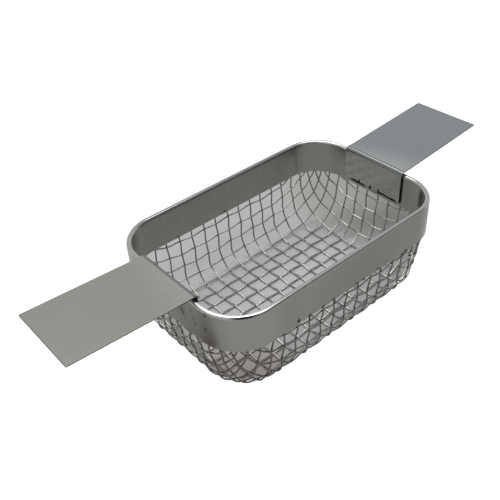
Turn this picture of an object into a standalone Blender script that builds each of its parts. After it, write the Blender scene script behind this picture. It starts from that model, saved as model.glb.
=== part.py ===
"""Small wire basket for an ultrasonic cleaning bath: a deep-drawn bag of woven
stainless wire, held in a folded sheet band, with two flat handles welded inside
the band's short ends.

Metres, +Z up. +X and -X are the handle ends. The origin is on the plane the
basket stands on, below the middle of its floor.
"""

import bmesh
import bpy
import numpy as np
from math import cos, pi, radians, sin, tan

# Rim band: one strip folded over at the top into a channel with two skins
RIM_LENGTH = 0.160
RIM_WIDTH = 0.103
RIM_CORNER = 0.0248          # outside corner radius, seen from above
RIM_THICKNESS = 0.0033       # across the fold, outside to outside
BAND_HEIGHT = 0.0222
BAND_SHEET = 0.0006
SEAM_TURN = radians(7)       # from the +Y side, round its +X corner, to the strip's ends
SEAM_GAP = 0.0003

# Wire bag: depth to the lowest wire, and the form that the cloth was drawn to
BASKET_DEPTH = 0.0608
FLOOR_BEND = 0.0125          # radius between the walls and the floor
END_DRAFT = 0.135            # how much the ends lean in for each unit of drop
SIDE_DRAFT = 0.08            # and the long sides
CORNER_SOFTENING = 0.05      # how much the corner radius grows for each unit of drop
MESH_TUCK = 0.0140           # how far the cloth reaches up into the channel

# Cloth: the wires of the drawn cloth, every second one of the real weave
WIRE = 0.0010
CRIMP = 0.0004               # how far a wire rises and falls at each crossing
PITCH_X = 0.0185             # between the wires that run across the basket
PITCH_Y = 0.0175             # between the wires that run along it

# Handles: flat strips, bent over the rim
HANDLE_WIDTH = 0.044
HANDLE_SHEET = 0.0008
HANDLE_BEND = 0.0012         # inside radius of the bend
HANDLE_LIFT = 0.0013         # air between the rim's top and the strip above it
HANDLE_LEG = 0.0195          # how far the leg reaches below the rim's top
LEFT_RISE = radians(3.1)
RIGHT_RISE = radians(4.0)
OVERALL_LENGTH = 0.2921      # tip to tip
RISE_START = 0.002           # from the rim's outside to where the strip starts to rise

CLEARANCE = 0.0003           # between pieces that touch

# Fineness of the curved forms
CORNER_STEPS = 9
FOLD_STEPS = 6
BEND_STEPS = 6
NET_STEPS = 4                # net lines from one modelled wire to the next
WIRE_RESOLUTION = 1          # a bevel resolution of 1 gives a six-sided wire
WELD_DISTANCE = 1e-6
PATH_TOLERANCE = 0.00015
EVENING_ROUNDS = 60          # how far the wires' stiffness spreads the drape's shear

RIM_TOP = BASKET_DEPTH
BAND_BOTTOM = RIM_TOP - BAND_HEIGHT
CHANNEL_INSET = RIM_THICKNESS / 2
CHANNEL_HALF = RIM_THICKNESS / 2 - BAND_SHEET
CHANNEL_X = RIM_LENGTH / 2 - CHANNEL_INSET
CHANNEL_Y = RIM_WIDTH / 2 - CHANNEL_INSET
CHANNEL_CORNER = RIM_CORNER - CHANNEL_INSET
FLOOR_Z = WIRE / 2 + CRIMP
MESH_TOP = BAND_BOTTOM + MESH_TUCK


def clear_scene():
    for obj in list(bpy.data.objects):
        bpy.data.objects.remove(obj, do_unlink=True)


def new_collection(name):
    collection = bpy.data.collections.new(name)
    bpy.context.scene.collection.children.link(collection)
    return collection


def steel(name, colour, roughness):
    material = bpy.data.materials.new(name)
    material.use_nodes = True
    shader = material.node_tree.nodes["Principled BSDF"]
    shader.inputs["Base Color"].default_value = (*colour, 1.0)
    shader.inputs["Metallic"].default_value = 1.0
    shader.inputs["Roughness"].default_value = roughness
    return material


def poly_curve(name, lines, dimensions="3D"):
    """A curve with one straight-sided spline for each line of points."""
    data = bpy.data.curves.new(name, "CURVE")
    data.dimensions = dimensions
    for line in lines:
        spline = data.splines.new("POLY")
        spline.points.add(len(line) - 1)
        for point, place in zip(spline.points, line):
            point.co = (*place, 1.0)
    return data


def flat_curve(name, outline):
    return poly_curve(name, [[(a, b, 0.0) for a, b in outline]], "2D")


def mesh_from_curve(name, data, collection, material):
    """A mesh object with the curve's evaluated shape, its caps welded on."""
    guide = bpy.data.objects.new(name + "_guide", data)
    bpy.context.scene.collection.objects.link(guide)
    depsgraph = bpy.context.evaluated_depsgraph_get()
    mesh = bpy.data.meshes.new_from_object(guide.evaluated_get(depsgraph))
    bpy.data.objects.remove(guide)
    form = bmesh.new()
    form.from_mesh(mesh)
    bmesh.ops.remove_doubles(form, verts=form.verts, dist=WELD_DISTANCE)
    form.to_mesh(mesh)
    form.free()
    mesh.name = name
    mesh.materials.clear()
    mesh.materials.append(material)
    obj = bpy.data.objects.new(name, mesh)
    collection.objects.link(obj)
    return obj


def thicken(obj, thickness):
    modifier = obj.modifiers.new("sheet", "SOLIDIFY")
    modifier.thickness = thickness
    modifier.offset = 0.0
    modifier.use_even_offset = True


def shade_round(obj, angle=radians(35)):
    obj.data.shade_smooth()
    obj.data.set_sharp_from_angle(angle=angle)


def arc(centre, radius, start, end, steps):
    """Points of an arc in a plane, both ends included."""
    turns = [start + (end - start) * i / steps for i in range(steps + 1)]
    return [(centre[0] + radius * cos(t), centre[1] + radius * sin(t)) for t in turns]


# Rim band

def channel_path():
    """The channel's middle line, from the seam all the way round to the seam."""
    x, y = CHANNEL_X - CHANNEL_CORNER, CHANNEL_Y - CHANNEL_CORNER
    seam = pi / 2 - SEAM_TURN
    path = arc((x, y), CHANNEL_CORNER, seam, 0.0, CORNER_STEPS)
    for centre, start in (((x, -y), 0.0), ((-x, -y), -pi / 2), ((-x, y), -pi)):
        path += arc(centre, CHANNEL_CORNER, start, start - pi / 2, CORNER_STEPS)
    return path + arc((x, y), CHANNEL_CORNER, pi / 2, seam + SEAM_GAP / CHANNEL_CORNER, 1)


def fold_profile():
    """Middle of the sheet: outer skin, round fold at the top, inner skin."""
    radius = (RIM_THICKNESS - BAND_SHEET) / 2
    fold_z = RIM_TOP - RIM_THICKNESS / 2
    over = arc((0.0, fold_z), radius, 0.0, pi, FOLD_STEPS)
    return [(radius, BAND_BOTTOM)] + over + [(-radius, BAND_BOTTOM)]


def make_rim_band(collection, material):
    section = flat_curve("fold_section", fold_profile())
    section_object = bpy.data.objects.new("fold_section", section)
    bpy.context.scene.collection.objects.link(section_object)
    path = flat_curve("rim_path", channel_path())
    path.bevel_mode = "OBJECT"
    path.bevel_object = section_object
    path.fill_mode = "NONE"
    band = mesh_from_curve("rim_band", path, collection, material)
    bpy.data.objects.remove(section_object)
    thicken(band, BAND_SHEET)
    shade_round(band)
    return band


# Wire cloth

def rounded(a, b):
    """Joins two walls, given by how far outside each a point lies, with a round."""
    outside = np.hypot(np.maximum(a, 0.0), np.maximum(b, 0.0))
    return np.minimum(np.maximum(a, b), 0.0) + outside


def bag_offset(points):
    """Zero on the middle surface of the drawn cloth, positive outside it."""
    x, y, z = points[..., 0], points[..., 1], points[..., 2]
    drop = np.maximum(BAND_BOTTOM - z, 0.0)
    corner = CHANNEL_CORNER + CORNER_SOFTENING * drop
    beyond_x = abs(x) - (CHANNEL_X - END_DRAFT * drop - corner)
    beyond_y = abs(y) - (CHANNEL_Y - SIDE_DRAFT * drop - corner)
    wall = rounded(beyond_x, beyond_y) - corner
    return rounded(wall + FLOOR_BEND, FLOOR_Z - z + FLOOR_BEND) - FLOOR_BEND


def slopes_of(function, points, step=1e-6):
    """Slope of the function at each point, along X, Y and Z."""
    ends = [(function(points + d) - function(points - d)) / (2 * step) for d in step * np.eye(3)]
    return np.stack(ends, axis=-1)


def onto_bag(points):
    for _ in range(3):
        slopes = slopes_of(bag_offset, points)
        pull = bag_offset(points) / (slopes ** 2).sum(axis=-1)
        points = points - pull[..., None] * slopes
    return points


def settle(guess, conditions):
    """The point near the guess where the three conditions are all zero."""
    point = np.array(guess, float)
    for _ in range(20):
        values = np.array([condition(point) for condition in conditions])
        if abs(values).max() < 1e-9:
            return point
        slopes = np.array([slopes_of(condition, point) for condition in conditions])
        point = point - np.linalg.solve(slopes, values)
    return None


def at_distance(centre, length):
    return lambda point: np.linalg.norm(point - centre) - length


def drape_quarter():
    """Net of the cloth over a quarter of the bag.

    Cloth drapes as a net of fixed mesh lengths whose angles may change: each
    knot lies on the surface, one length from each of its two older neighbours.
    """
    steps = (PITCH_X / NET_STEPS, PITCH_Y / NET_STEPS)
    net = {(0, 0): np.array([0.0, 0.0, FLOOR_Z])}
    for axis, step in enumerate(steps):
        previous, forward, count = net[0, 0], step * np.eye(3)[axis], 0
        while previous[2] < MESH_TOP:
            count += 1
            on_plane = lambda point: point[1 - axis]
            conditions = (bag_offset, at_distance(previous, step), on_plane)
            knot = settle(previous + forward, conditions)
            forward, previous = knot - previous, knot
            net[(count, 0) if axis == 0 else (0, count)] = knot
    for i in range(1, 1 + max(i for i, j in net)):
        for j in range(1, 1 + max(j for i, j in net)):
            older = [net.get(key) for key in ((i - 1, j), (i, j - 1), (i - 1, j - 1))]
            if any(knot is None for knot in older) or min(older[0][2], older[1][2]) > MESH_TOP:
                continue
            along, across, corner = older
            conditions = (bag_offset, at_distance(along, steps[0]), at_distance(across, steps[1]))
            knot = settle(along + across - corner, conditions)
            if knot is not None:
                net[i, j] = knot
    return net


def mirror_quarter(net):
    signs = [(a, b) for a in (1, -1) for b in (1, -1)]
    return {(a * i, b * j): knot * (a, b, 1) for (i, j), knot in net.items() for a, b in signs}


def even_out(net):
    """Spreads the shear of the corners over more of the cloth.

    A stiff wire pulls each knot towards the middle of its two neighbours on
    that wire, springs hold the mesh lengths, and the knots stay on the bag.
    """
    keys = list(net)
    number = {key: n for n, key in enumerate(keys)}
    steps = {(1, 0): PITCH_X / NET_STEPS, (0, 1): PITCH_Y / NET_STEPS}
    bends, springs = [], []
    for i, j in keys:
        for (a, b), length in steps.items():
            before, after = number.get((i - a, j - b)), number.get((i + a, j + b))
            if after is not None:
                springs.append((number[i, j], after, length))
            if after is not None and before is not None:
                bends.append((number[i, j], before, after))
    middle, before, after = np.array(bends).T
    first, second = (np.array([spring[k] for spring in springs]) for k in (0, 1))
    length = np.array([spring[2] for spring in springs])[:, None]
    shares = np.bincount(np.concatenate((first, second)), minlength=len(keys))[:, None]
    knots = np.array([net[key] for key in keys])
    for _ in range(EVENING_ROUNDS):
        shift, pull = np.zeros_like(knots), np.zeros_like(knots)
        np.add.at(shift, middle, ((knots[before] + knots[after]) / 2 - knots[middle]) / 4)
        spans = knots[second] - knots[first]
        stretch = spans * (1.0 - length / np.linalg.norm(spans, axis=1)[:, None]) / 2
        np.add.at(pull, first, stretch)
        np.add.at(pull, second, -stretch)
        knots = onto_bag(knots + shift + pull / shares)
    return dict(zip(keys, knots))


def crimp_at(z):
    """How far the wires rise and fall: less where the channel pinches them."""
    pinched = CHANNEL_HALF - CLEARANCE - WIRE / 2
    share = min(max((BAND_BOTTOM - z) / (2 * WIRE), 0.0), 1.0)
    return pinched + (CRIMP - pinched) * share


def thin(points):
    """Drops the points that a straight run comes close enough to."""
    start, end = points[0], points[-1]
    if len(points) < 3:
        return points
    along = (end - start) / np.linalg.norm(end - start)
    inner = np.array(points[1:-1]) - start
    stray = np.linalg.norm(inner - np.outer(inner @ along, along), axis=1)
    worst = int(stray.argmax()) + 1
    if stray.max() < PATH_TOLERANCE:
        return [start, end]
    return thin(points[:worst + 1])[:-1] + thin(points[worst:])


def wire_path(net, keys, wave):
    """One wire through the knots, up to the cloth's cut edge at both ends."""
    keys = [key for key in keys if key in net]
    below = [n for n, key in enumerate(keys) if net[key][2] < MESH_TOP]
    if not below or below[0] == 0 or below[-1] == len(keys) - 1:
        return None
    points = [net[key] for key in keys[below[0] - 1:below[-1] + 2]]
    waves = [wave(key) for key in keys[below[0] - 1:below[-1] + 2]]
    for end, inner in ((0, 1), (-1, -2)):
        share = (MESH_TOP - points[inner][2]) / (points[end][2] - points[inner][2])
        points[end] = points[inner] + share * (points[end] - points[inner])
        waves[end] = waves[inner] + share * (waves[end] - waves[inner])
    path = []
    for point, height in zip(points, waves):
        normal = slopes_of(bag_offset, point)
        path.append(point + height * crimp_at(point[2]) * normal / np.linalg.norm(normal))
    return thin(path)


def cloth_paths():
    """Paths of the wires along X and of those along Y, passing over and under."""
    net = even_out(mirror_quarter(drape_quarter()))
    reach_x = max(i for i, j in net)
    reach_y = max(j for i, j in net)
    half = NET_STEPS // 2
    lines_x = [j for j in range(-reach_y, reach_y + 1) if j % NET_STEPS == half]
    lines_y = [i for i in range(-reach_x, reach_x + 1) if i % NET_STEPS == 0]
    turn = pi / NET_STEPS

    def over(key):
        return cos(key[0] * turn) * cos((key[1] - half) * turn)

    along_x = [
        wire_path(net, [(i, j) for i in range(-reach_x, reach_x + 1)], over) for j in lines_x
    ]
    along_y = [
        wire_path(net, [(i, j) for j in range(-reach_y, reach_y + 1)], lambda key: -over(key))
        for i in lines_y
    ]
    return [path for path in along_x if path], [path for path in along_y if path]


def make_wires(name, paths, collection, material):
    wires = poly_curve(name, paths)
    wires.bevel_depth = WIRE / 2
    wires.bevel_resolution = WIRE_RESOLUTION
    wires.use_fill_caps = True
    return mesh_from_curve(name, wires, collection, material)


def make_wire_mesh(collection, cutters, material):
    along_x, along_y = cloth_paths()
    cloth = make_wires("wire_mesh", along_x, collection, material)
    crossing = make_wires("crossing_wires", along_y, cutters, material)
    crossing.display_type = "WIRE"
    crossing.hide_render = True
    joint = cloth.modifiers.new("crossings", "BOOLEAN")
    joint.operation = "UNION"
    joint.object = crossing
    shade_round(cloth)
    return cloth


# Handles

def handle_profile(rise):
    """Middle of the strip: leg up inside the band, level over the rim, then rising."""
    leg_x = RIM_LENGTH / 2 - RIM_THICKNESS - CLEARANCE - HANDLE_SHEET / 2
    level_z = RIM_TOP + HANDLE_LIFT + HANDLE_SHEET / 2
    bend = HANDLE_BEND + HANDLE_SHEET / 2
    turn = arc((leg_x + bend, level_z - bend), bend, pi, pi / 2, BEND_STEPS)
    rise_x = RIM_LENGTH / 2 + RISE_START
    tip_x = OVERALL_LENGTH / 2 - HANDLE_SHEET / 2 * sin(rise)
    tip_z = level_z + (tip_x - rise_x) * tan(rise)
    return [(leg_x, RIM_TOP - HANDLE_LEG)] + turn + [(rise_x, level_z), (tip_x, tip_z)]


def make_handle(name, side, rise, collection, material):
    profile = [(side * x, z) for x, z in handle_profile(rise)]
    strip = flat_curve(name, profile)
    strip.extrude = HANDLE_WIDTH / 2
    strip.fill_mode = "NONE"
    handle = mesh_from_curve(name, strip, collection, material)
    handle.rotation_euler = (pi / 2, 0.0, 0.0)
    thicken(handle, HANDLE_SHEET)
    shade_round(handle)
    return handle


def main():
    clear_scene()
    parts = new_collection("ultrasonic_cleaner_basket")
    cutters = new_collection("cutters")
    band_steel = steel("brushed_stainless_sheet", (0.40, 0.40, 0.38), 0.34)
    wire_steel = steel("drawn_stainless_wire", (0.46, 0.46, 0.45), 0.28)
    handle_steel = steel("rolled_stainless_strip", (0.50, 0.51, 0.50), 0.30)
    make_rim_band(parts, band_steel)
    make_wire_mesh(parts, cutters, wire_steel)
    make_handle("left_handle", -1, LEFT_RISE, parts, handle_steel)
    make_handle("right_handle", 1, RIGHT_RISE, parts, handle_steel)


main()
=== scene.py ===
from math import cos, pi, radians, sin, tan

import bmesh
import bpy
import numpy as np
from mathutils import Matrix, Vector, noise


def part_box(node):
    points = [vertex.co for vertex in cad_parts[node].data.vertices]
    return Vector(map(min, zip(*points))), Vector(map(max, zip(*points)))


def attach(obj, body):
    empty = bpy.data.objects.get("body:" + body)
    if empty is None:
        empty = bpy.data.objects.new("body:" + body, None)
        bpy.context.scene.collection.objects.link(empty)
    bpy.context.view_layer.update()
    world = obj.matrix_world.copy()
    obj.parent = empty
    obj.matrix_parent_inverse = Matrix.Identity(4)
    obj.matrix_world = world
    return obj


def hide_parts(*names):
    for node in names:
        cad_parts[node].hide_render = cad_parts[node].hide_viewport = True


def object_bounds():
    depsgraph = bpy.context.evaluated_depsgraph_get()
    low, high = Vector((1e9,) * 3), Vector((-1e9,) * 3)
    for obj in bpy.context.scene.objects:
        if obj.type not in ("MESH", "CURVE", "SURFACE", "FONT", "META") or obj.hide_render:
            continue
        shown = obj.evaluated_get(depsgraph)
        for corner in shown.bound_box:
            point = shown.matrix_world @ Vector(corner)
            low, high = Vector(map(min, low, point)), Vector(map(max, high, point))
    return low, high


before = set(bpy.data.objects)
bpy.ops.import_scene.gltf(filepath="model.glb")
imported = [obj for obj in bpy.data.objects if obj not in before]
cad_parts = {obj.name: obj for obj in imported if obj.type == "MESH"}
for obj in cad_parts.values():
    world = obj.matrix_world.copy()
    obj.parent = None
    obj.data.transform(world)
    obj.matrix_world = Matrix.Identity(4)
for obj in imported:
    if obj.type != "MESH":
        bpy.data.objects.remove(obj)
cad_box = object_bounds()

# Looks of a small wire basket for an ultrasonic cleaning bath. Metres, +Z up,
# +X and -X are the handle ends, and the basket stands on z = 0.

MM = 0.001

band_low, band_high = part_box("rim_band")
_, mesh_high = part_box("wire_mesh")
right_low, right_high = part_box("right_handle")
left_low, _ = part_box("left_handle")

# Band: one strip folded over at the top into a channel with two skins
RIM_TOP = cad_box[0][2] + 60.8 * MM
BAND_BOTTOM = band_low.z
RIM_CORNER = 24.8 * MM
RIM_THICKNESS = 3.3 * MM
BAND_SHEET = 0.6 * MM
BAND_EDGE = 0.08 * MM        # burr taken off the strip's edges
SEAM_TURN = radians(7)       # from the +Y side, round its +X corner, to the strip's ends
SEAM_GAP = 0.3 * MM
CHANNEL_X = band_high.x - RIM_THICKNESS / 2
CHANNEL_Y = band_high.y - RIM_THICKNESS / 2
CHANNEL_CORNER = RIM_CORNER - RIM_THICKNESS / 2
CHANNEL_HALF = RIM_THICKNESS / 2 - BAND_SHEET
CORNER_STEPS = 28
FOLD_STEPS = 16

# Cloth: woven wire, drawn to a bag
WIRE = 1.0 * MM
CRIMP = 0.47 * MM            # a wire's rise and fall: it all but touches the one it crosses
PITCH_X = 9.25 * MM
PITCH_Y = 8.75 * MM
FLOOR_BEND = 12.5 * MM
END_DRAFT = 0.135            # how much the ends lean in for each unit of drop
SIDE_DRAFT = 0.08            # and the long sides
CORNER_SOFTENING = 0.05      # how much the corner radius grows for each unit of drop
FLOOR_Z = WIRE / 2 + CRIMP
MESH_TOP = mesh_high.z - 0.5 * MM
NET_STEPS = 4                # net lines from one wire to the next
EVENING_ROUNDS = 240
WIRE_CLEARANCE = 0.15 * MM
WANDER = 0.35 * MM           # how far a wire strays from its even place
WANDER_SPAN = 26.0 * MM      # and over what length it does
WANDER_SEED = 1              # unseeded, the noise would differ from run to run

# Handles: flat strips bent over the rim
HANDLE_SHEET = 0.8 * MM
HANDLE_BEND = 1.2 * MM
HANDLE_LIFT = 1.3 * MM
HANDLE_CLEARANCE = 0.3 * MM
RISE_START = 2.0 * MM
LEFT_RISE = radians(3.1)
RIGHT_RISE = radians(4.0)
TIP_CORNER = 0.7 * MM        # corners nipped off the sheared tip
SHEARED_EDGE = 0.12 * MM     # burr taken off the sheared edges

# Faces and edges that marks lie on, in millimetres, as the marks' own places are
TOP = RIM_TOP / MM
SKIRT_EDGE = BAND_BOTTOM / MM
LEFT_SKIN = band_low.x / MM
NEAR_SKIN = band_low.y / MM
FAR_INNER_SKIN = (band_high.y - RIM_THICKNESS) / MM
RIGHT_INNER_SKIN = (band_high.x - RIM_THICKNESS) / MM
LEG_FACE = right_low.x / MM
LEG_FOOT = right_low.z / MM
BEND_END = (right_low.x + HANDLE_SHEET + HANDLE_BEND) / MM
STRIP_EDGE = right_high.y / MM
STRIP_TIP = right_high.x / MM

# Painted shade on the table: a patch swept back from under the basket, its sizes in millimetres
SHADE_START = ((1.5, 2.0), (70.7, 43.0))    # its middle, and how far it reaches each way
SHADE_END = ((33.4, 36.1), (91.6, 58.6))
SHADE_STEPS = 6
SHADE_CORNER = 25.0
SHADE_OUTER = 1.0            # how far its soft edge reaches out
SHADE_INNER = 2.0            # and in

SMOOTH = {"interpolation_type": "SMOOTHSTEP"}


def linear(hex_colour):
    """An sRGB hex colour as linear red, green, blue and alpha."""
    shades = [int(hex_colour[k:k + 2], 16) / 255 for k in (1, 3, 5)]
    return (*(s / 12.92 if s <= 0.04045 else ((s + 0.055) / 1.055) ** 2.4 for s in shades), 1.0)


def set_inputs(tree, node, inputs):
    """Sets or links inputs: each to a plain value, a hex colour, a socket or a node's result."""
    for key, value in inputs.items():
        if isinstance(value, bpy.types.Node):
            value = next(result for result in value.outputs if result.enabled)
        if isinstance(value, bpy.types.NodeSocket):
            tree.links.new(value, node.inputs[key])
        else:
            node.inputs[key].default_value = linear(value) if isinstance(value, str) else value


def add_node(tree, kind, inputs=None, **settings):
    """Adds a node with its settings, and sets or links its inputs."""
    node = tree.nodes.new(kind)
    for name, value in settings.items():
        setattr(node, name, value)
    set_inputs(tree, node, inputs or {})
    return node


def select_only(obj):
    bpy.ops.object.select_all(action="DESELECT")
    obj.select_set(True)
    bpy.context.view_layer.objects.active = obj


def pick(obj, kind, test):
    """Selects, in edit mode, only the vertices or edges that pass the test."""
    bpy.ops.mesh.select_mode(type={"verts": "VERT", "edges": "EDGE"}[kind])
    bpy.ops.mesh.select_all(action="DESELECT")
    form = bmesh.from_edit_mesh(obj.data)
    for item in getattr(form, kind):
        item.select_set(test(item))
    bmesh.update_edit_mesh(obj.data)


def apply_modifier(obj, kind, **settings):
    select_only(obj)
    modifier = obj.modifiers.new(kind.lower(), kind)
    for name, value in settings.items():
        setattr(modifier, name, value)
    bpy.ops.object.modifier_apply(modifier=modifier.name)


def make_sheet(obj, thickness, edge):
    """Gives an open form its sheet thickness, and takes the burr off its edges."""
    apply_modifier(obj, "SOLIDIFY", thickness=thickness, offset=0.0, use_even_offset=True)
    apply_modifier(
        obj, "BEVEL", width=edge, segments=2, limit_method="ANGLE", angle_limit=radians(50)
    )


def finish_piece(obj, name, material, node, smooth_to=radians(15)):
    """Names and dresses a piece, and lets it stand for its CAD node."""
    select_only(obj)
    bpy.ops.object.transform_apply(location=True, rotation=True, scale=True)
    bpy.ops.object.shade_smooth_by_angle(angle=smooth_to)
    obj.name = name
    obj.data.name = name
    obj.data.materials.clear()
    obj.data.materials.append(material)
    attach(obj, "root")
    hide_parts(node)


# Materials

def new_metal(name, roughness):
    """A bare metal, with its node tree and its shader."""
    material = bpy.data.materials.new(name)
    material.use_nodes = True
    tree = material.node_tree
    shader = tree.nodes["Principled BSDF"]
    shader.inputs["Metallic"].default_value = 1.0
    shader.inputs["Roughness"].default_value = roughness
    return material, tree, shader


def coated(tree, colour, coats):
    """Lays coats over a colour in turn: each is a colour and how much of it each point has."""
    for coat, cover in coats:
        # A mix node has its colours on inputs 6 and 7
        inputs = {0: cover, 6: colour, 7: coat}
        colour = add_node(tree, "ShaderNodeMix", inputs, data_type="RGBA")
    return colour


def joined(tree, operation, factors):
    """Joins factors in turn: MAXIMUM covers what any of them does, MULTIPLY what all do."""
    joint = factors[0]
    for factor in factors[1:]:
        joint = add_node(tree, "ShaderNodeMath", {0: joint, 1: factor}, operation=operation)
    return joint


def fade(tree, place, axis, start, end, high=1.0):
    """None at one place on an axis and high at another, in millimetres, smooth between."""
    along = add_node(tree, "ShaderNodeSeparateXYZ", {"Vector": place}).outputs[axis]
    inputs = {"Value": along, "From Min": start * MM, "From Max": end * MM, "To Max": high}
    return add_node(tree, "ShaderNodeMapRange", inputs, **SMOOTH)


def speckle(tree, place, size, stretch=(1.0, 1.0, 1.0), detail=3.0, seed=0.0):
    """Soft noise with features of a size in metres, longer along the small stretches."""
    moved = add_node(
        tree, "ShaderNodeMapping", {"Vector": place, "Scale": stretch, "Location": (seed, seed, seed)}
    )
    return add_node(
        tree, "ShaderNodeTexNoise",
        {"Vector": moved, "Scale": 1 / size, "Detail": detail, "Roughness": 0.55},
    ).outputs["Fac"]


def mark(tree, place, centre, size, reach=1.0, core=0.4):
    """Reach at a point given in millimetres, fading from its core to none at the size's ends."""
    centre, size = (tuple(n * MM for n in part) for part in (centre, size))
    apart = add_node(tree, "ShaderNodeVectorMath", {0: place, 1: centre}, operation="SUBTRACT")
    share = add_node(tree, "ShaderNodeVectorMath", {0: apart, 1: size}, operation="DIVIDE")
    away = add_node(tree, "ShaderNodeVectorMath", {0: share}, operation="LENGTH")
    inputs = {"Value": away, "From Min": 1.0, "From Max": core, "To Max": reach}
    return add_node(tree, "ShaderNodeMapRange", inputs, **SMOOTH)


def satin_skins(tree, place, lines):
    """Satin grey that follows the grit's lines, with faint clouds, painted sheen at two corners, and
    darker areas, one of them painted shade under the left handle.
    """
    clouds = speckle(tree, place, 18 * MM, stretch=(1.0, 1.0, 0.7), seed=3.1)
    grain = add_node(
        tree, "ShaderNodeMapRange", {"Value": lines, "From Min": 0.3, "From Max": 0.7}, **SMOOTH
    )
    haze = add_node(
        tree, "ShaderNodeMapRange",
        {"Value": clouds, "From Min": 0.42, "From Max": 0.75, "To Max": 0.35}, **SMOOTH
    )
    halfway = TOP - 12
    # Painted sheen: lighter at the near-left and far-right corners
    light = joined(tree, "MAXIMUM", [
        mark(tree, place, (-68, -48, halfway), (23, 28, 30), 0.5),
        mark(tree, place, (68, 46, halfway), (26, 30, 30), 0.75),
    ])
    return coated(tree, "#747570", [
        ("#797A74", grain),
        ("#696A65", haze),
        ("#84857F", light),
        # Darker along the near skin's right part
        ("#696A65", mark(tree, place, (50, NEAR_SKIN, halfway), (92, 8, 30), 0.9)),
        # Painted shade under the left handle
        ("#5A5A55", mark(tree, place, (LEFT_SKIN, -14, halfway), (5, 30, 30), 0.85)),
    ])


def stains_and_handle_shade(tree, place, satin):
    """Smoky stains and brown tint, as spot welding leaves on the skins, and painted shadow under the
    left handle.
    """
    # Smoky stains, with painted shade as well nearest the left handle
    smoke_and_shade = joined(tree, "MAXIMUM", [
        mark(tree, place, (LEFT_SKIN, -16, TOP - 10), (5, 9, 9), 0.6),
        mark(tree, place, (LEFT_SKIN, -23, TOP - 12), (11, 9, 11), 0.7),
        mark(tree, place, (LEFT_SKIN, -30, TOP - 17), (11, 11, 10), 0.8),
    ])
    # Painted shadow under the left handle
    handle_shadow = mark(tree, place, (LEFT_SKIN, -12, TOP - 11), (4, 8, 9), 0.35)
    tint = joined(tree, "MAXIMUM", [
        mark(tree, place, (LEFT_SKIN, -32.5, TOP - 19.5), (9, 5, 4), 0.5),
        mark(tree, place, (-2.9, FAR_INNER_SKIN, TOP - 21.4), (1.9, 1.9, 1.9), 0.8),
        mark(tree, place, (-38.5, FAR_INNER_SKIN, TOP - 22.1), (1.9, 1.9, 1.9), 0.8),
    ])
    return coated(tree, satin, [("#5E5D58", smoke_and_shade), ("#3E3E3B", handle_shadow), ("#554440", tint)])


def dark_specks_and_shade(tree, place):
    """Black specks on the left end and along the near skirt's edge; inside the right end, painted
    shadow under the leg's foot, and a painted dark reflection inside the near-right corner.
    """
    specks = [
        mark(tree, place, (LEFT_SKIN, y, TOP - drop), (1.8, 1.5 * wide, 1.3 * tall), 0.95, 0.6)
        for y, drop, wide, tall in (
            (-12.8, 10.2, 0.9, 1.4), (-13.6, 12.0, 0.9, 1.5), (-20.7, 6.1, 0.7, 0.7),
            (-22.4, 10.2, 0.8, 0.6), (-31.5, 2.1, 0.5, 1.3), (-23.3, 12.6, 1.0, 0.5),
            (-31.2, 11.7, 0.9, 0.5), (-39.0, 16.0, 0.9, 0.6),
        )
    ]
    specks += [
        mark(tree, place, (x, NEAR_SKIN, SKIRT_EDGE + up), (1.5, 2.0, 1.6), 0.95, 0.6)
        for x, up in (
            (-37.5, 2.2), (-29.7, 0.6), (-20.0, 0.2), (-12.5, 0.3),
            (5.0, 0.3), (10.2, 0.1), (22.1, 0.3), (45.0, 0.4),
        )
    ]
    # Painted shadow under the right leg's foot, on the band inside the right end
    specks += [
        mark(tree, place, (RIGHT_INNER_SKIN, y, SKIRT_EDGE + 2.3), (1.2, wide, 1.0), 0.95, 0.7)
        for y, wide in ((11, 8), (-3, 7), (-15, 7))
    ]
    # Painted dark reflection inside the near-right corner
    dark_reflection = mark(tree, place, (73.0, -38.2, TOP - 8), (4.0, 5.0, 10.0), 0.9)
    return joined(tree, "MAXIMUM", [*specks, dark_reflection])


def bright_bead(tree, place):
    """The fold's top, with painted shade greying it along the far side and painted highlights over
    two opposite corners.
    """
    crest = fade(tree, place, "Z", TOP - 0.36, TOP - 0.12)
    near_left = mark(tree, place, (-73, -42, TOP), (28, 28, 28))
    # Painted highlights on the crest over the near-left corner and over the far-right corner
    painted_highlight = joined(tree, "MAXIMUM", [
        joined(tree, "MULTIPLY", [near_left, crest]),
        mark(tree, place, (71.6, 43.1, TOP), (28, 28, 28), 0.4),
    ])
    # Painted shade greying the far side's bead
    far_side = fade(tree, place, "Y", 45, 48)
    return coated(tree, "#9E9F9D", [("#939796", far_side), ("#D2D5D5", painted_highlight)])


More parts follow.
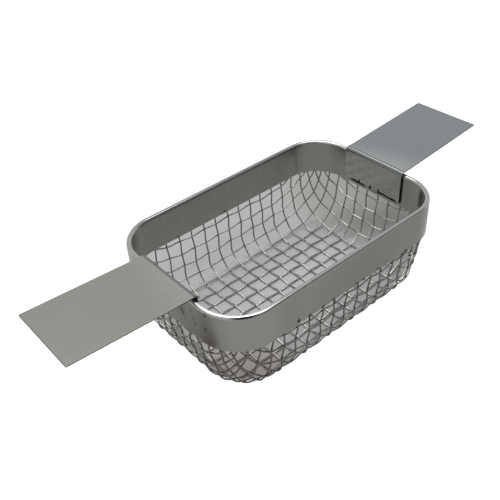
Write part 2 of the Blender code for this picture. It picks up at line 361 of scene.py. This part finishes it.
def brushed_band():
    """Stainless strip, belt-brushed across: satin grey with fine upright lines.

    The fold at the top is drawn tight over a former, which burnishes it bright, and highlights are
    painted on its top over two corners.
    """
    material, tree, shader = new_metal("brushed_stainless_strip", 0.30)
    place = add_node(tree, "ShaderNodeTexCoord").outputs["Object"]
    # The grit's lines are 0.1 mm wide, and drawn at 0.9 mm to show at this size
    lines = speckle(tree, place, 0.9 * MM, stretch=(1.0, 1.0, 0.03), detail=4.0)
    # Painted shade: a dark line in the crease below the fold, inside the far long side
    crease_shade = joined(tree, "MULTIPLY", [
        fade(tree, place, "Y", 46.5, 47.5),
        fade(tree, place, "Y", 50, 49),
        fade(tree, place, "Z", TOP - 2.0, TOP - 1.6, high=0.8),
    ])
    # Painted shade: a dark line under the near-left corner's highlight
    shade_under_bead = mark(tree, place, (-68.4, -46.6, TOP - 0.6), (9, 7, 0.6), 0.9)
    fold = fade(tree, place, "Z", TOP - 1.5, TOP - 0.8)
    colour = coated(tree, stains_and_handle_shade(tree, place, satin_skins(tree, place, lines)), [
        ("#1E1E1D", dark_specks_and_shade(tree, place)),
        ("#40413E", crease_shade),
        (bright_bead(tree, place), fold),
        ("#1E1E1D", shade_under_bead),
    ])
    brushed = add_node(
        tree, "ShaderNodeMapRange",
        {"Value": lines, "From Min": 0.25, "From Max": 0.75, "To Min": 0.30, "To Max": 0.36}, **SMOOTH
    )
    # A mix node has its plain values on inputs 2 and 3
    gloss = add_node(tree, "ShaderNodeMix", {0: fold, 2: brushed, 3: 0.15})
    skin = fade(tree, place, "Z", TOP - 1.8, TOP - 3.0, high=0.03)
    relief = {"Height": lines, "Strength": skin, "Distance": 0.05 * MM}
    bump = add_node(tree, "ShaderNodeBump", relief)
    set_inputs(tree, shader, {"Base Color": colour, "Roughness": gloss, "Normal": bump})
    return material


def drawn_wire():
    """Hard-drawn stainless wire: glossy, and painted lighter where it faces up, as light falls there.

    Its sides are painted darker, as shade, and the outside is painted darker
    still, as shade, most of all round one corner.
    """
    material, tree, shader = new_metal("drawn_stainless_wire", 0.2)
    place = add_node(tree, "ShaderNodeTexCoord").outputs["Object"]
    soil = speckle(tree, place, 6 * MM, detail=4.0)
    soiled = add_node(
        tree, "ShaderNodeMapRange", {"Value": soil, "From Min": 0.35, "From Max": 0.7}, **SMOOTH
    )
    facing = add_node(tree, "ShaderNodeNewGeometry").outputs["Normal"]
    upward = add_node(tree, "ShaderNodeSeparateXYZ", {"Vector": facing}).outputs["Z"]
    # Painted light on the wires' tops and painted shade on their sides
    sides = add_node(
        tree, "ShaderNodeMapRange", {"Value": upward, "From Min": 0.7, "From Max": 0.1}, **SMOOTH
    )
    # Painted shade on the outside of the cloth, most round the near-left corner
    outside = joined(tree, "MAXIMUM", [
        fade(tree, place, "Y", -36, -46, high=0.45),
        fade(tree, place, "X", -62, -74, high=0.45),
        mark(tree, place, (-68, -44, 14), (52, 44, 52), 0.9),
    ])
    colour = coated(tree, "#B4B4B0", [
        ("#92928E", soiled), ("#656561", sides), ("#585653", outside),
    ])
    gloss = add_node(
        tree, "ShaderNodeMapRange",
        {"Value": soil, "From Min": 0.3, "From Max": 0.7, "To Min": 0.14, "To Max": 0.22}, **SMOOTH
    )
    set_inputs(tree, shader, {"Base Color": colour, "Roughness": gloss})
    return material


def rolled_strip(name, near, far, leg, seed, specks=()):
    """Cold-rolled stainless strip: smooth and even, with faint streaks along it.

    Its colour goes from near, at the bend, to far, at the tip, as a painted reflection,
    and it is painted darker over the bend. The leg is painted darker, as shade, with black
    specks as welding leaves and painted shadow along its foot and near edge, and the sheared edges
    are dark.
    """
    material, tree, shader = new_metal(name, 0.16)
    place = add_node(tree, "ShaderNodeTexCoord").outputs["Object"]
    # The same place with its signs dropped, so that both edges and both ends fade alike
    unsigned = add_node(tree, "ShaderNodeVectorMath", {0: place}, operation="ABSOLUTE")
    across = add_node(tree, "ShaderNodeSeparateXYZ", {"Vector": place}).outputs["Y"]
    outward = add_node(tree, "ShaderNodeSeparateXYZ", {"Vector": unsigned}).outputs["X"]
    slant = add_node(
        tree, "ShaderNodeMath", {0: across, 1: 0.3, 2: outward}, operation="MULTIPLY_ADD"
    )
    # Painted reflection: from near at the bend to far at the tip
    toward_tip = add_node(
        tree, "ShaderNodeMapRange",
        {"Value": slant, "From Min": 72 * MM, "From Max": 96 * MM}, **SMOOTH
    )
    smears = speckle(tree, place, 30 * MM, detail=2.5, seed=seed)
    smeared = add_node(
        tree, "ShaderNodeMapRange",
        {"Value": smears, "From Min": 0.4, "From Max": 0.7, "To Max": 0.12}, **SMOOTH
    )
    streaks = speckle(tree, place, 1.1 * MM, stretch=(0.02, 1.0, 1.0), seed=seed)
    streaked = add_node(
        tree, "ShaderNodeMapRange",
        {"Value": streaks, "From Min": 0.35, "From Max": 0.75, "To Max": 0.08}, **SMOOTH
    )
    # Painted darker over the bend, to dim its highlight
    bend = fade(tree, unsigned, "X", BEND_END + 0.8, BEND_END - 0.2)
    cut_edges = joined(tree, "MAXIMUM", [
        fade(tree, unsigned, "Y", STRIP_EDGE - 0.2, STRIP_EDGE - 0.05),
        fade(tree, unsigned, "X", STRIP_TIP - 0.35, STRIP_TIP - 0.15),
    ])
    # The leg below the rim top, painted darker as shade
    below = fade(tree, place, "Z", TOP - 0.2, TOP - 1.5)
    # Painted shadow in the gap along the leg's near edge
    near_edge = fade(tree, place, "Y", 0.7 - STRIP_EDGE, 0.3 - STRIP_EDGE)
    black = joined(tree, "MAXIMUM", [
        joined(tree, "MULTIPLY", [near_edge, below]),
        *(mark(tree, place, centre, size, core=0.7) for centre, size in specks),
    ])
    colour = coated(tree, near, [
        (far, toward_tip), ("#808178", smeared), ("#77797A", streaked),
        ("#707372", bend), ("#5C5C58", cut_edges), (leg, below), ("#101010", black),
    ])
    gloss = add_node(
        tree, "ShaderNodeMapRange",
        {"Value": smears, "From Min": 0.3, "From Max": 0.7, "To Min": 0.15, "To Max": 0.18}, **SMOOTH
    )
    set_inputs(tree, shader, {"Base Color": colour, "Roughness": gloss})
    return material


def leg_shade_and_specks():
    """Places and sizes, in millimetres, of the painted shadow line along the right leg's foot, and of
    the ticks and dot on the leg.
    """
    face = LEG_FACE - 0.4
    foot = LEG_FOOT + 0.2
    # Painted shadow line along the leg's foot
    line = [((face, y, foot + up), (1.5, wide, 1.2)) for y, up, wide in (
        (13.2, 0.3, 5.4), (7.0, 0.1, 3.5), (1.0, 0.3, 1.4), (-9.5, 0.3, 5.5), (-16.4, 0.1, 4.2),
    )]
    ticks = [((face, y, foot + 1.1), (1.5, 0.9, 2.1)) for y in (9.8, 0.8, -5.5)]
    dot = ((face, -14.7, TOP - 12.5), (1.5, 0.6, 0.6))
    return [*line, *ticks, dot]


# Band

def folded_band(material):
    """The fold's section, spun round the corners and drawn out along the sides."""
    radius = (RIM_THICKNESS - BAND_SHEET) / 2
    fold_z = RIM_TOP - RIM_THICKNESS / 2
    x, y = CHANNEL_X - CHANNEL_CORNER, CHANNEL_Y - CHANNEL_CORNER
    seam = pi / 2 - SEAM_TURN
    start = (x + CHANNEL_CORNER * cos(seam), y + CHANNEL_CORNER * sin(seam), fold_z)
    bpy.ops.mesh.primitive_circle_add(
        vertices=2 * FOLD_STEPS, radius=radius, location=start, rotation=(pi / 2, 0.0, seam)
    )
    band = bpy.context.object
    select_only(band)
    bpy.ops.object.transform_apply(location=True, rotation=True, scale=True)
    bpy.ops.object.mode_set(mode="EDIT")
    tiny = radius * 0.01
    pick(band, "verts", lambda v: v.co.z < fold_z - tiny)
    bpy.ops.mesh.delete(type="VERT")
    pick(band, "verts", lambda v: v.co.z < fold_z + tiny)
    drop = {"value": (0.0, 0.0, BAND_BOTTOM - fold_z)}
    bpy.ops.mesh.extrude_vertices_move(TRANSFORM_OT_translate=drop)
    bpy.ops.mesh.select_all(action="SELECT")
    last = SEAM_TURN - SEAM_GAP / CHANNEL_CORNER
    sides = [
        ((x, y), seam, (0.0, -2 * y)),
        ((x, -y), pi / 2, (-2 * x, 0.0)),
        ((-x, -y), pi / 2, (0.0, 2 * y)),
        ((-x, y), pi / 2, (2 * x, 0.0)),
        ((x, y), last, None),
    ]
    for centre, angle, side in sides:
        steps = max(2, round(CORNER_STEPS * angle / (pi / 2)))
        bpy.ops.mesh.spin(steps=steps, angle=angle, center=(*centre, 0.0), axis=(0, 0, 1))
        if side:
            run = {"value": (*side, 0.0)}
            bpy.ops.mesh.extrude_region_move(TRANSFORM_OT_translate=run)
    bpy.ops.mesh.select_all(action="SELECT")
    bpy.ops.mesh.normals_make_consistent(inside=False)
    bpy.ops.object.mode_set(mode="OBJECT")
    make_sheet(band, BAND_SHEET, BAND_EDGE)
    finish_piece(band, "folded_band", material, "rim_band")


# Wire cloth

def rounded(a, b):
    """Joins two walls, given by how far outside each a point lies, with a round."""
    outside = np.hypot(np.maximum(a, 0.0), np.maximum(b, 0.0))
    return np.minimum(np.maximum(a, b), 0.0) + outside


def bag_offset(points):
    """Zero on the middle surface of the drawn cloth, positive outside it."""
    x, y, z = points[..., 0], points[..., 1], points[..., 2]
    drop = np.maximum(BAND_BOTTOM - z, 0.0)
    corner = CHANNEL_CORNER + CORNER_SOFTENING * drop
    beyond_x = abs(x) - (CHANNEL_X - END_DRAFT * drop - corner)
    beyond_y = abs(y) - (CHANNEL_Y - SIDE_DRAFT * drop - corner)
    wall = rounded(beyond_x, beyond_y) - corner
    return rounded(wall + FLOOR_BEND, FLOOR_Z - z + FLOOR_BEND) - FLOOR_BEND


def slopes_of(function, points, step=1e-6):
    """Slope of the function at each point, along X, Y and Z."""
    ends = [(function(points + d) - function(points - d)) / (2 * step) for d in step * np.eye(3)]
    return np.stack(ends, axis=-1)


def onto_bag(points):
    """Moves points onto the cloth's middle surface."""
    for _ in range(3):
        slopes = slopes_of(bag_offset, points)
        pull = bag_offset(points) / (slopes ** 2).sum(axis=-1)
        points = points - pull[..., None] * slopes
    return points


def settle(guess, conditions):
    """The point near the guess where the three conditions are all zero."""
    point = np.array(guess, float)
    for _ in range(20):
        values = np.array([condition(point) for condition in conditions])
        if abs(values).max() < 1e-9:
            return point
        slopes = np.array([slopes_of(condition, point) for condition in conditions])
        point = point - np.linalg.solve(slopes, values)
    return None


def at_distance(centre, length):
    """A condition that is zero at one length from the centre."""
    return lambda point: np.linalg.norm(point - centre) - length


def drape_quarter():
    """Net of the cloth over a quarter of the bag.

    Cloth drapes as a net of fixed mesh lengths whose angles may change: each
    knot lies on the surface, one length from each of its two older neighbours.
    """
    steps = (PITCH_X / NET_STEPS, PITCH_Y / NET_STEPS)
    net = {(0, 0): np.array([0.0, 0.0, FLOOR_Z])}
    for axis, step in enumerate(steps):
        previous, forward, count = net[0, 0], step * np.eye(3)[axis], 0
        while previous[2] < MESH_TOP:
            count += 1
            on_plane = lambda point: point[1 - axis]
            conditions = (bag_offset, at_distance(previous, step), on_plane)
            knot = settle(previous + forward, conditions)
            forward, previous = knot - previous, knot
            net[(count, 0) if axis == 0 else (0, count)] = knot
    for i in range(1, 1 + max(i for i, j in net)):
        for j in range(1, 1 + max(j for i, j in net)):
            older = [net.get(key) for key in ((i - 1, j), (i, j - 1), (i - 1, j - 1))]
            if any(knot is None for knot in older) or min(older[0][2], older[1][2]) > MESH_TOP:
                continue
            along, across, corner = older
            conditions = (bag_offset, at_distance(along, steps[0]), at_distance(across, steps[1]))
            knot = settle(along + across - corner, conditions)
            if knot is not None:
                net[i, j] = knot
    return net


def mirror_quarter(net):
    """Net of the whole bag, from a quarter of it."""
    signs = [(a, b) for a in (1, -1) for b in (1, -1)]
    return {(a * i, b * j): knot * (a, b, 1) for (i, j), knot in net.items() for a, b in signs}


def even_out(net):
    """Spreads the shear of the corners over more of the cloth.

    A stiff wire pulls each knot towards the middle of its two neighbours on
    that wire, springs hold the mesh lengths, and the knots stay on the bag.
    """
    keys = list(net)
    number = {key: n for n, key in enumerate(keys)}
    steps = {(1, 0): PITCH_X / NET_STEPS, (0, 1): PITCH_Y / NET_STEPS}
    bends, springs = [], []
    for i, j in keys:
        for (a, b), length in steps.items():
            before, after = number.get((i - a, j - b)), number.get((i + a, j + b))
            if after is not None:
                springs.append((number[i, j], after, length))
            if after is not None and before is not None:
                bends.append((number[i, j], before, after))
    middle, before, after = np.array(bends).T
    first, second = (np.array([spring[k] for spring in springs]) for k in (0, 1))
    length = np.array([spring[2] for spring in springs])[:, None]
    shares = np.bincount(np.concatenate((first, second)), minlength=len(keys))[:, None]
    knots = np.array([net[key] for key in keys])
    for _ in range(EVENING_ROUNDS):
        shift, pull = np.zeros_like(knots), np.zeros_like(knots)
        np.add.at(shift, middle, ((knots[before] + knots[after]) / 2 - knots[middle]) / 4)
        spans = knots[second] - knots[first]
        stretch = spans * (1.0 - length / np.linalg.norm(spans, axis=1)[:, None]) / 2
        np.add.at(pull, first, stretch)
        np.add.at(pull, second, -stretch)
        knots = onto_bag(knots + shift + pull / shares)
    return dict(zip(keys, knots))


def wander(net):
    """Lets the wires stray a little from their even places, as drawn cloth does."""
    noise.seed_set(WANDER_SEED)
    keys = list(net)
    drift = [noise.noise_vector(Vector(net[key]) / WANDER_SPAN) for key in keys]
    knots = onto_bag(np.array([net[key] for key in keys]) + 2 * WANDER * np.array(drift))
    return dict(zip(keys, knots))


def crimp_at(z):
    """How far the wires rise and fall: less where the channel pinches them."""
    pinched = CHANNEL_HALF - WIRE_CLEARANCE - WIRE / 2
    share = min(max((BAND_BOTTOM - z) / (2 * WIRE), 0.0), 1.0)
    return pinched + (CRIMP - pinched) * share


def wire_path(net, keys, wave):
    """One wire through the knots, up to the cloth's cut edge at both ends."""
    keys = [key for key in keys if key in net]
    below = [n for n, key in enumerate(keys) if net[key][2] < MESH_TOP]
    if not below or below[0] == 0 or below[-1] == len(keys) - 1:
        return None
    points = [net[key] for key in keys[below[0] - 1:below[-1] + 2]]
    waves = [wave(key) for key in keys[below[0] - 1:below[-1] + 2]]
    for end, inner in ((0, 1), (-1, -2)):
        share = (MESH_TOP - points[inner][2]) / (points[end][2] - points[inner][2])
        points[end] = points[inner] + share * (points[end] - points[inner])
        waves[end] = waves[inner] + share * (waves[end] - waves[inner])
    path = []
    for point, height in zip(points, waves):
        normal = slopes_of(bag_offset, point)
        path.append(point + height * crimp_at(point[2]) * normal / np.linalg.norm(normal))
    return path


def cloth_paths():
    """Paths of the wires along X and of those along Y, passing over and under."""
    net = wander(even_out(mirror_quarter(drape_quarter())))
    reach_x = max(i for i, j in net)
    reach_y = max(j for i, j in net)
    half = NET_STEPS // 2
    lines_x = [j for j in range(-reach_y, reach_y + 1) if j % NET_STEPS == half]
    lines_y = [i for i in range(-reach_x, reach_x + 1) if i % NET_STEPS == 0]
    turn = pi / NET_STEPS

    def over(key):
        return cos(key[0] * turn) * cos((key[1] - half) * turn)

    along_x = [
        wire_path(net, [(i, j) for i in range(-reach_x, reach_x + 1)], over) for j in lines_x
    ]
    along_y = [
        wire_path(net, [(i, j) for j in range(-reach_y, reach_y + 1)], lambda key: -over(key))
        for i in lines_y
    ]
    return [path for path in along_x if path], [path for path in along_y if path]


def woven_wires(name, paths, material):
    """Round wires on smooth curves through their paths' points, their ends closed."""
    data = bpy.data.curves.new(name, "CURVE")
    data.dimensions = "3D"
    for path in paths:
        spline = data.splines.new("BEZIER")
        spline.bezier_points.add(len(path) - 1)
        for knot, place in zip(spline.bezier_points, path):
            knot.co = place
            knot.handle_left_type = knot.handle_right_type = "AUTO"
        spline.resolution_u = 2
    data.bevel_depth = WIRE / 2
    data.bevel_resolution = 3
    data.use_fill_caps = True
    wires = bpy.data.objects.new(name, data)
    bpy.context.scene.collection.objects.link(wires)
    select_only(wires)
    bpy.ops.object.convert(target="MESH")
    bpy.ops.object.mode_set(mode="EDIT")
    bpy.ops.mesh.select_all(action="SELECT")
    bpy.ops.mesh.remove_doubles(threshold=0.01 * MM)
    bpy.ops.object.mode_set(mode="OBJECT")
    finish_piece(wires, name, material, "wire_mesh", smooth_to=radians(40))


# Handles

def strip_handle(name, node, side, tip_x, rise, material):
    """A flat strip: out and up from the rim, bent down inside it to a leg."""
    low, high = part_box(node)
    width = high.y - low.y
    leg_x = band_high.x - RIM_THICKNESS - HANDLE_CLEARANCE - HANDLE_SHEET / 2
    level_z = RIM_TOP + HANDLE_LIFT + HANDLE_SHEET / 2
    bend = HANDLE_BEND + HANDLE_SHEET / 2
    rise_x = band_high.x + RISE_START
    end_x = tip_x - HANDLE_SHEET / 2 * sin(rise)
    middle_x = (rise_x + end_x) / 2
    bpy.ops.mesh.primitive_plane_add(size=1.0, location=(middle_x, 0.0, level_z))
    strip = bpy.context.object
    strip.scale = (end_x - rise_x, width, 1.0)
    select_only(strip)
    bpy.ops.object.transform_apply(location=True, rotation=True, scale=True)
    bpy.ops.object.mode_set(mode="EDIT")
    pick(strip, "edges", lambda e: all(v.co.x > middle_x for v in e.verts))
    lift = {"value": (0.0, 0.0, (end_x - rise_x) * tan(rise))}
    bpy.ops.transform.translate(**lift)
    pick(strip, "verts", lambda v: v.co.x > middle_x)
    bpy.ops.mesh.bevel(offset=TIP_CORNER, segments=3, affect="VERTICES")
    pick(strip, "edges", lambda e: all(v.co.x < rise_x + MM for v in e.verts))
    run = {"value": (leg_x + bend - rise_x, 0.0, 0.0)}
    bpy.ops.mesh.extrude_region_move(TRANSFORM_OT_translate=run)
    centre = (leg_x + bend, 0.0, level_z - bend)
    bpy.ops.mesh.spin(steps=8, angle=pi / 2, center=centre, axis=(0, 1, 0))
    drop = {"value": (0.0, 0.0, low.z - centre[2])}
    bpy.ops.mesh.extrude_region_move(TRANSFORM_OT_translate=drop)
    bpy.ops.mesh.select_all(action="SELECT")
    bpy.ops.mesh.normals_make_consistent(inside=False)
    bpy.ops.object.mode_set(mode="OBJECT")
    make_sheet(strip, HANDLE_SHEET, SHEARED_EDGE)
    if side < 0:
        strip.rotation_euler = (0.0, 0.0, pi)
    finish_piece(strip, name, material, node)


# Studio

def white_floor():
    """Matt white table, with shade painted on it under the basket and close behind it."""
    bpy.ops.mesh.primitive_plane_add(size=6.0)
    floor = bpy.context.object
    floor.name = "table"
    material = bpy.data.materials.new("matt_white_table")
    material.use_nodes = True
    tree = material.node_tree
    shader = tree.nodes["Principled BSDF"]
    place = add_node(tree, "ShaderNodeTexCoord").outputs["Object"]
    shade = table_shade(tree, place)
    # Tone of the painted shade, darker still off the right end and at the near-left foot
    tone = coated(tree, "#B3B3B3", [
        ("#A3A3A3", fade(tree, place, "Y", 42, 66)),
        ("#9B9B9B", fade(tree, place, "Y", -6, -22)),
        ("#A3A1A0", fade(tree, place, "X", -42, -54)),
        ("#90908C", mark(tree, place, (114, 42, 0), (62, 76, 50))),
        ("#908A88", mark(tree, place, (-68, -36, 0), (48, 36, 50))),
    ])
    seen = add_node(tree, "ShaderNodeLightPath").outputs
    unshaded = add_node(tree, "ShaderNodeMath", {0: 1.0, 1: shade}, operation="SUBTRACT")
    to_the_eye = joined(tree, "MULTIPLY", [seen["Is Camera Ray"], unshaded, 0.52])
    # In the metal's reflections the table glows, most where the shade is painted
    glow = add_node(
        tree, "ShaderNodeMapRange", {"Value": shade, "To Min": 0.04, "To Max": 0.55}, **SMOOTH
    )
    in_the_metal = joined(tree, "MULTIPLY", [seen["Is Glossy Ray"], glow])
    set_inputs(tree, shader, {
        "Base Color": coated(tree, "#EEEEEE", [(tone, shade)]),
        "Roughness": 0.9,
        "Specular IOR Level": 0.0,
        "Emission Color": "#FFFFFF",
        "Emission Strength": joined(tree, "MAXIMUM", [to_the_eye, in_the_metal]),
    })
    floor.data.materials.append(material)


def table_shade(tree, place):
    """One where shade is painted on the table: the swept patch, and three that fill out its near end.
    """
    patches = []
    for step in range(SHADE_STEPS + 1):
        share = step / SHADE_STEPS
        centre, half = (
            [a + share * (b - a) for a, b in zip(*ends)] for ends in zip(SHADE_START, SHADE_END)
        )
        patches.append(shaded_patch(tree, place, centre, half, SHADE_CORNER))
    for centre, half, corner in (
        ((38.5, -6.0), (34.5, 32.5), 9.0),
        ((9.4, 10.1), (77.5, 49.3), SHADE_CORNER),
        ((70.0, -14.0), (22.0, 22.0), 22.0),
    ):
        patches.append(shaded_patch(tree, place, centre, half, corner))
    return joined(tree, "MAXIMUM", patches)


def shaded_patch(tree, place, centre, half, corner):
    """One inside a rounded rectangle on the table, its sizes in millimetres."""
    middle = (centre[0] * MM, centre[1] * MM, 0.0)
    inner = ((half[0] - corner) * MM, (half[1] - corner) * MM, 0.0)
    apart = add_node(tree, "ShaderNodeVectorMath", {0: place, 1: middle}, operation="SUBTRACT")
    unsigned = add_node(tree, "ShaderNodeVectorMath", {0: apart}, operation="ABSOLUTE")
    beyond = add_node(tree, "ShaderNodeVectorMath", {0: unsigned, 1: inner}, operation="SUBTRACT")
    outside = add_node(
        tree, "ShaderNodeVectorMath", {0: beyond, 1: (0.0, 0.0, 0.0)}, operation="MAXIMUM"
    )
    away = add_node(tree, "ShaderNodeVectorMath", {0: outside}, operation="LENGTH")
    edge = {"From Min": (corner + SHADE_OUTER) * MM, "From Max": (corner - SHADE_INNER) * MM}
    return add_node(tree, "ShaderNodeMapRange", {"Value": away, **edge}, **SMOOTH)


def soft_box(name, place, size, turn, power):
    """A soft box that looks straight down."""
    data = bpy.data.lights.new(name, "AREA")
    data.shape = "RECTANGLE"
    data.size, data.size_y = size
    data.energy = power
    lamp = bpy.data.objects.new(name, data)
    lamp.location = place
    lamp.rotation_euler = (0.0, 0.0, turn)
    bpy.context.scene.collection.objects.link(lamp)


def room():
    """Pale room: white to the eye, while the metal reflects a darker near side."""
    world = bpy.data.worlds.new("pale_room")
    bpy.context.scene.world = world
    world.use_nodes = True
    tree = world.node_tree
    tree.nodes.clear()
    toward = add_node(tree, "ShaderNodeTexCoord").outputs["Generated"]
    near_side = Vector((0.15, -0.95, 0.25)).normalized()
    facing = add_node(
        tree, "ShaderNodeVectorMath", {0: toward, 1: near_side}, operation="DOT_PRODUCT"
    )
    level = add_node(
        tree, "ShaderNodeMapRange",
        {"Value": facing, "From Min": 0.35, "From Max": 0.8, "To Min": 0.95, "To Max": 0.36}, **SMOOTH
    )
    reflected = add_node(tree, "ShaderNodeBackground", {"Color": "#FFFFFF", "Strength": level})
    white = add_node(tree, "ShaderNodeBackground", {"Color": "#FFFFFF"})
    seen = add_node(tree, "ShaderNodeLightPath").outputs["Is Camera Ray"]
    both = add_node(tree, "ShaderNodeMixShader", {0: seen, 1: reflected, 2: white})
    add_node(tree, "ShaderNodeOutputWorld", {"Surface": both})


def place_camera():
    """Looks down on the basket's near-left corner, as the photograph does."""
    azimuth, elevation, roll = radians(-39.297), radians(38.387), radians(-3.242)
    target, distance = Vector((0.107293, 0.160533, RIM_TOP - 0.176254)), 0.641588
    back = Vector((
        sin(azimuth) * cos(elevation), -cos(azimuth) * cos(elevation), sin(elevation)
    ))
    right = (-back).cross(Vector((0.0, 0.0, 1.0))).normalized()
    up = right.cross(-back)
    across = right * cos(roll) + up * sin(roll)
    upward = up * cos(roll) - right * sin(roll)
    data = bpy.data.cameras.new("camera")
    data.lens = 49.973
    camera = bpy.data.objects.new("camera", data)
    turn = Matrix((across, upward, back)).transposed().to_4x4()
    camera.matrix_world = Matrix.Translation(target + back * distance) @ turn
    bpy.context.scene.collection.objects.link(camera)
    bpy.context.scene.camera = camera


def main():
    """Dresses the basket, then sets table, lamps, room and camera round it."""
    bpy.ops.object.select_all(action="DESELECT")
    folded_band(brushed_band())
    along_x, along_y = cloth_paths()
    wire = drawn_wire()
    woven_wires("woven_wires_lengthwise", along_x, wire)
    woven_wires("woven_wires_crosswise", along_y, wire)
    left = rolled_strip(
        "rolled_stainless_left", near="#9D9E99", far="#93948D", leg="#80817B", seed=0.0
    )
    right = rolled_strip(
        "rolled_stainless_right", near="#9D9F9F", far="#83888B", leg="#7C7C77", seed=7.0,
        specks=leg_shade_and_specks(),
    )
    strip_handle("left_strip_handle", "left_handle", -1, -left_low.x, LEFT_RISE, left)
    strip_handle("right_strip_handle", "right_handle", 1, right_high.x, RIGHT_RISE, right)
    white_floor()
    soft_box("overhead_strip_box", (-0.03, 0.09, 0.9), (1.0, 0.35), radians(-39.3), power=4.4)
    soft_box("back_soft_box", (0.07, 0.5, 0.9), (0.22, 0.22), 0.0, power=0.9)
    room()
    place_camera()
    bpy.context.scene.view_settings.view_transform = "Standard"


main()
